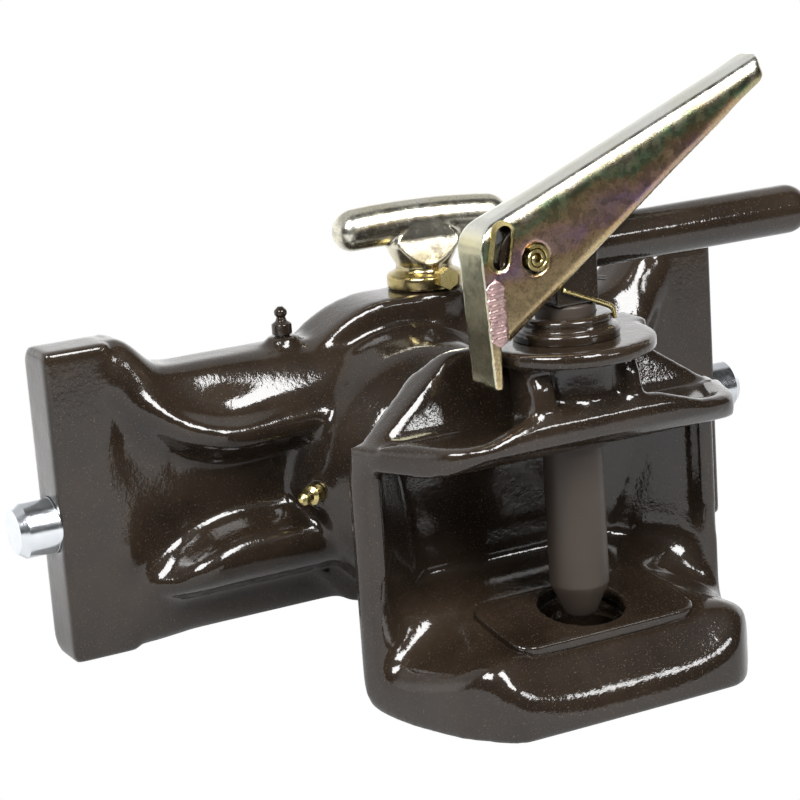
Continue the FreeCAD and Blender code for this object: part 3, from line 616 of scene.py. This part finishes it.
softened("carrier", "carrier_casting", voxel=0.0021, passes=14, weight=carrier_weight,
         blend=carrier_blend, blend_passes=120,
         plug=bore_rods(0.0152, 0.154, 0.1935), bore=bore_rods(0.0144, 0.157, 0.200))
jaw_skin = softened("jaw", "jaw_casting", voxel=0.0019, passes=16, weight=jaw_weight,
                    blend=jaw_blend, blend_passes=110)
raise_lip_corners(jaw_skin.data)
softened("wear_plate", "wear_plate_skin", voxel=0.0009, passes=4)
softened("hand_bar", "hand_bar_skin", voxel=0.0009, passes=5)
softened("lock_handle", "lock_handle_skin", voxel=0.0009, passes=6, shape=bowed_handle)
softened("draw_arm_left", "draw_arm_left_skin", voxel=0.0008, passes=2)
softened("draw_arm_right", "draw_arm_right_skin", voxel=0.0008, passes=2)
softened("latch_lever", "latch_lever_skin", voxel=0.0008, passes=110, shape=lengthened_tip,
         weight=bend_weight)


# Latch: weld between tab and flange, the slot's cut edge, the coiled spring pin and the spring's leg
FLANGE_Y = -0.1926
PIVOT = Vector((-0.023, -0.1818, 0.133))


def add_weld():
    """A rippled bead, narrowed at both ends and closed at the back."""
    across, along = 16, 90
    low, high = Vector((-0.0436, 0, 0.0966)), Vector((-0.0448, 0, 0.1275))
    half = 0.0050
    points = []
    for i in range(along):
        v = i / (along - 1)
        middle = low.lerp(high, v)
        swell = math.sin(math.pi * min(1, 8 * v, 8 * (1 - v)) / 2)
        edge = half * (0.9 + 0.07 * math.sin(31 * v) + 0.06 * math.sin(74 * v + 1))
        for j in range(across):
            u = 2 * j / (across - 1) - 1
            ripple = math.sin(2 * math.pi * (11 * v - 0.7 * u * u + 0.25 * math.sin(9 * v)))
            rough = math.sin(47 * v + 6 * u) * math.sin(29 * v - 8 * u + 1)
            height = 0.0007 * swell * (1 - u ** 6) * (0.75 + 0.1 * ripple + 0.25 * rough)
            points.append((middle.x + u * edge * swell, FLANGE_Y - height, middle.z - 0.0006 * u * u))
    count = len(points)
    points += [(x, FLANGE_Y + 0.0007, z) for x, y, z in points]
    faces = []
    for i in range(along - 1):
        for j in range(across - 1):
            a, b = i * across + j, (i + 1) * across + j
            faces.append((a, a + 1, b + 1, b))
            faces.append((count + a, count + b, count + b + 1, count + a + 1))
    rim = list(range(across)) + [i * across + across - 1 for i in range(1, along)]
    rim += [(along - 1) * across + j for j in range(across - 2, -1, -1)]
    rim += [i * across for i in range(along - 2, 0, -1)]
    for a, b in zip(rim, rim[1:] + rim[:1]):
        faces.append((a, b, count + b, count + a))
    add_piece("latch_weld", mesh_of("latch_weld", points, faces),
              body_of["latch_lever"], slot_of["latch_lever"], "rose_weld")


def add_slot_edge():
    """The bright sheared edge round the lever's slot."""
    low, high = Vector((-0.0412, 0.1346)), Vector((-0.0388, 0.1460))
    inner, outer, shift = 0.0042, 0.0058, Vector((-0.0011, 0.0008))
    sides = 40
    lean = math.atan2(high.y - low.y, high.x - low.x)
    loops = {inner: [], outer: []}
    for radius, loop in loops.items():
        for j in range(sides):
            turn = lean - math.pi / 2 + 2 * math.pi * (j + 0.5) / sides
            end = high if j < sides // 2 else low
            way = Vector((math.cos(turn), math.sin(turn)))
            loop.append(end + radius * way + (shift if radius == outer else Vector((0, 0))))
    points = []
    for radius, proud in ((inner, -0.0006), (inner, 0.0002), (outer, 0.0005), (outer, -0.0006)):
        points += [(x, FLANGE_Y - proud, z) for x, z in loops[radius]]
    crisp(add_piece("slot_edge", mesh_of("slot_edge", points, ring_faces(4, sides, True)),
                    body_of["latch_lever"], slot_of["latch_lever"], "olive_zinc"))


def add_spring_pin():
    """A pin rolled from strip: its end shows the coil."""
    turns, pitch, strip, count = 2.05, 0.0023, 0.00165, 120
    radius = 0.00695
    front, back = -0.0119, 0.0141
    rings = []
    for y, inset in ((front, 0.00025), (front + 0.0003, 0), (back - 0.0003, 0), (back, 0.00025)):
        outer, inner = [], []
        for k in range(count + 1):
            turn = 2 * math.pi * turns * k / count
            r = radius - pitch * turns * k / count
            for edge, reach in ((outer, r - inset), (inner, max(r - strip + inset, 0.0004))):
                edge.append(PIVOT + Vector((reach * math.cos(2.2 - turn), y, reach * math.sin(2.2 - turn))))
        rings.append(outer + inner[::-1])
    sides = len(rings[0])
    faces = ring_faces(4, sides)[:-2]
    for base in (0, 3 * sides):
        for k in range(count):
            faces.append((base + k, base + k + 1, base + sides - 2 - k, base + sides - 1 - k))
    pin = add_piece("spring_pin_coil", mesh_of("spring_pin_coil", [q for ring in rings for q in ring], faces),
                    body_of["spirol_pin"], slot_of["spirol_pin"], "olive_zinc")
    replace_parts(crisp(pin), "spirol_pin")


def add_spring_leg():
    """The free end of the latch's return spring."""
    line = bowed([
        (-0.0088, -0.1904, 0.1163), (0.0026, -0.1904, 0.1114), (0.0128, -0.1904, 0.107),
        (0.0168, -0.1906, 0.1045), (0.0178, -0.1906, 0.0995),
    ], 8)
    add_piece("latch_spring_leg", wire("latch_spring_leg", line, 0.0011), body_of["latch_spring"],
              slot_of["latch_spring"], "olive_zinc")


add_weld()
add_slot_edge()
add_spring_pin()
add_spring_leg()


# Swivel: threaded end, chamfered castle nut and a split pin with its legs bent over
def turned(name, profile, sides=72):
    """A solid of revolution about Y from (radius, y) points."""
    points = []
    for radius, y in profile:
        for j in range(sides):
            turn = 2 * math.pi * j / sides
            points.append((radius * math.cos(turn), y, radius * math.sin(turn)))
    return mesh_of(name, points, ring_faces(len(profile), sides))


def add_thread():
    """The thread on the shank's end, tapered at its start."""
    start, end, root, crest, pitch = 0.0600, 0.0734, 0.0190, 0.0204, 0.003
    sides, rows = 96, 70
    points = []
    for i in range(rows):
        y = start + (end - start) * i / (rows - 1)
        taper = max(0.0, (y - end + 0.0024))
        for j in range(sides):
            turn = 2 * math.pi * j / sides
            phase = ((y - start) / pitch - j / sides) % 1.0
            ridge = min(1.0, 2.4 * abs(phase - 0.5))
            radius = min(root + (crest - root) * ridge, crest - taper * 0.9)
            points.append((radius * math.cos(turn), y, radius * math.sin(turn)))
    add_piece("shank_thread", mesh_of("shank_thread", points, ring_faces(rows, sides)),
              body_of["jaw"], slot_of["jaw"], "plain_steel")


def add_castle_nut():
    """The nut with the corners of both its faces turned off."""
    low, high, chamfer = 0.048, 0.066, 0.0027
    face_radius, corner_radius = 0.0335, 0.0382
    cutter = bpy.data.objects.new("nut_chamfer", turned("nut_chamfer", [
        (face_radius, low), (corner_radius, low + chamfer),
        (corner_radius, high - chamfer), (face_radius, high),
    ]))
    scene.collection.objects.link(cutter)
    nut = bpy.data.objects.new("castle_nut_skin", nodes["castle_nut"].data.copy())
    scene.collection.objects.link(nut)
    remesh = nut.modifiers.new("skin", "REMESH")
    remesh.mode = "VOXEL"
    remesh.voxel_size = 0.0007
    smooth = nut.modifiers.new("round", "SMOOTH")
    smooth.iterations = 2
    trim = nut.modifiers.new("trim", "BOOLEAN")
    trim.operation = "INTERSECT"
    trim.object = cutter
    trim.solver = "EXACT"
    mesh = baked(nut)
    bpy.data.objects.remove(cutter)
    mesh.polygons.foreach_set("material_index", [0] * len(mesh.polygons))
    mesh.polygons.foreach_set("use_smooth", [True] * len(mesh.polygons))
    crisp(nut, 25)
    paint(nut, slot_of["castle_nut"])
    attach(nut, body_of["castle_nut"])
    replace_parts(nut, "castle_nut")


def add_split_pin():
    """One wire: a leg bent over the shank's end, the eye, and a leg bent back over the nut."""
    y = 0.062
    eye_radius = 0.0046
    eye = [(-0.0355, y, 0.0012)]
    for a in np.linspace(2.5, -2.5, 15):
        eye.append((-0.040 - eye_radius * math.cos(a), y, eye_radius * math.sin(a)))
    eye.append((-0.0355, y, -0.0012))
    upper = [
        (0.0335, y + 0.0095, 0.0016), (0.0362, y + 0.005, 0.0016),
        (0.0345, y + 0.0008, 0.0014), (0.030, y, 0.0012),
    ]
    lower = [
        (0.030, y, -0.0012), (0.0345, y - 0.0008, -0.0014),
        (0.0362, y - 0.005, -0.0016), (0.0364, y - 0.012, -0.0016),
    ]
    mesh = wire("split_pin_bent", bowed(upper + eye + lower, 6), 0.00118)
    pin = add_piece("split_pin_bent", mesh, body_of["split_pin"], slot_of["split_pin"])
    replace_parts(pin, "split_pin")


def add_lock_spring(side):
    """A lock spring as a mesh of its own, with its doubled points merged."""
    node = "lock_spring_" + side
    mesh = joined(nodes[node].data)
    build = bmesh.new()
    build.from_mesh(mesh)
    bmesh.ops.remove_doubles(build, verts=build.verts, dist=1e-6)
    build.to_mesh(mesh)
    build.free()
    spring = add_piece(node + "_coil", mesh, body_of[node], slot_of[node])
    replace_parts(spring, node)
    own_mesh(spring)


add_thread()
add_castle_nut()
add_split_pin()
add_lock_spring("left")
add_lock_spring("right")


# Stage: white surround, soft boxes and a pale floor that only lights and reflections see
def add_floor():
    """Pale below the object and dark in front; in reflections it glows towards the back."""
    bpy.ops.mesh.primitive_plane_add(size=16, location=(0, 2, cad_box[0][2] - 0.0008))
    floor = bpy.context.object
    floor.name = "floor"
    t = Tree("floor_white")
    t.set(Roughness=0.7)
    speck = t.noise(40, 2)
    white = t.mix(t.span(speck, 0, 1), (0.43, 0.43, 0.43), (0.46, 0.46, 0.46))
    path = t.nodes.new("ShaderNodeLightPath")
    parts = t.nodes.new("ShaderNodeSeparateXYZ")
    t.links.new(t.coords, parts.inputs[0])
    far = t.span(parts.outputs["Y"], 0.0, 0.7, -2.05, -1.6)
    near = t.span(parts.outputs["Y"], 0.0, 1.0, -2.85, -2.6)
    t.link(t.mix(near, (0.04, 0.04, 0.04), white), "Base Color")
    t.shader.inputs["Emission Color"].default_value = (1, 1, 1, 1)
    t.link(t.math("MULTIPLY", path.outputs["Is Glossy Ray"], far), "Emission Strength")
    floor.data.materials.append(t.material)
    floor.visible_camera = False


def add_world():
    """White to the camera, a dim room with a bright sweep to reflections and an even glow to the rest."""
    world = bpy.data.worlds.new("studio")
    scene.world = world
    world.use_nodes = True
    tree = world.node_tree
    tree.nodes.clear()
    out = tree.nodes.new("ShaderNodeOutputWorld")
    path = tree.nodes.new("ShaderNodeLightPath")
    place = tree.nodes.new("ShaderNodeTexCoord")
    parts = tree.nodes.new("ShaderNodeSeparateXYZ")
    tree.links.new(place.outputs["Generated"], parts.inputs[0])

    def ramp(socket, low, high, dark, bright):
        node = map_range(tree, socket, dark, bright, low, high)
        node.interpolation_type = "SMOOTHSTEP"
        return node.outputs[0]

    # The sweep behind the object is brightest near the ground, the room above and in front is dim
    sweep = ramp(parts.outputs["Z"], 0.22, 0.55, 1.7, 0.8)
    behind = ramp(parts.outputs["Y"], -0.02, 0.22, 0.0, 1.0)
    room = math_node(tree, "MAXIMUM", math_node(tree, "MULTIPLY", behind, sweep), 0.035)
    glossy = tree.nodes.new("ShaderNodeBackground")
    tree.links.new(room, glossy.inputs["Strength"])
    diffuse = tree.nodes.new("ShaderNodeBackground")
    diffuse.inputs["Strength"].default_value = 0.36
    seen = tree.nodes.new("ShaderNodeBackground")
    seen.inputs["Color"].default_value = (1, 1, 1, 1)
    seen.inputs["Strength"].default_value = 1.0
    first = tree.nodes.new("ShaderNodeMixShader")
    tree.links.new(path.outputs["Is Glossy Ray"], first.inputs[0])
    tree.links.new(diffuse.outputs[0], first.inputs[1])
    tree.links.new(glossy.outputs[0], first.inputs[2])
    second = tree.nodes.new("ShaderNodeMixShader")
    both = math_node(tree, "MAXIMUM", path.outputs["Is Camera Ray"], path.outputs["Is Transmission Ray"])
    tree.links.new(both, second.inputs[0])
    tree.links.new(first.outputs[0], second.inputs[1])
    tree.links.new(seen.outputs[0], second.inputs[2])
    tree.links.new(second.outputs[0], out.inputs["Surface"])


def add_soft_box(name, place, aim, size, power):
    data = bpy.data.lights.new(name, "AREA")
    data.shape = "RECTANGLE"
    data.size = size[0]
    data.size_y = size[1]
    data.energy = power
    lamp = bpy.data.objects.new(name, data)
    lamp.location = place
    lamp.rotation_euler = (Vector(aim) - Vector(place)).to_track_quat("-Z", "Y").to_euler()
    scene.collection.objects.link(lamp)


add_floor()
add_world()
add_soft_box("key_left", (-0.95, -0.68, 1.12), aim=(0, -0.08, 0), size=(0.6, 0.8), power=34)
add_soft_box("key_right", (0.16, -1.15, 1.12), aim=(0, -0.08, 0), size=(0.6, 0.8), power=34)
add_soft_box("side_right", (0.74, -1.40, 0.62), aim=(0.08, -0.15, 0.1), size=(0.3, 0.14), power=2.4)
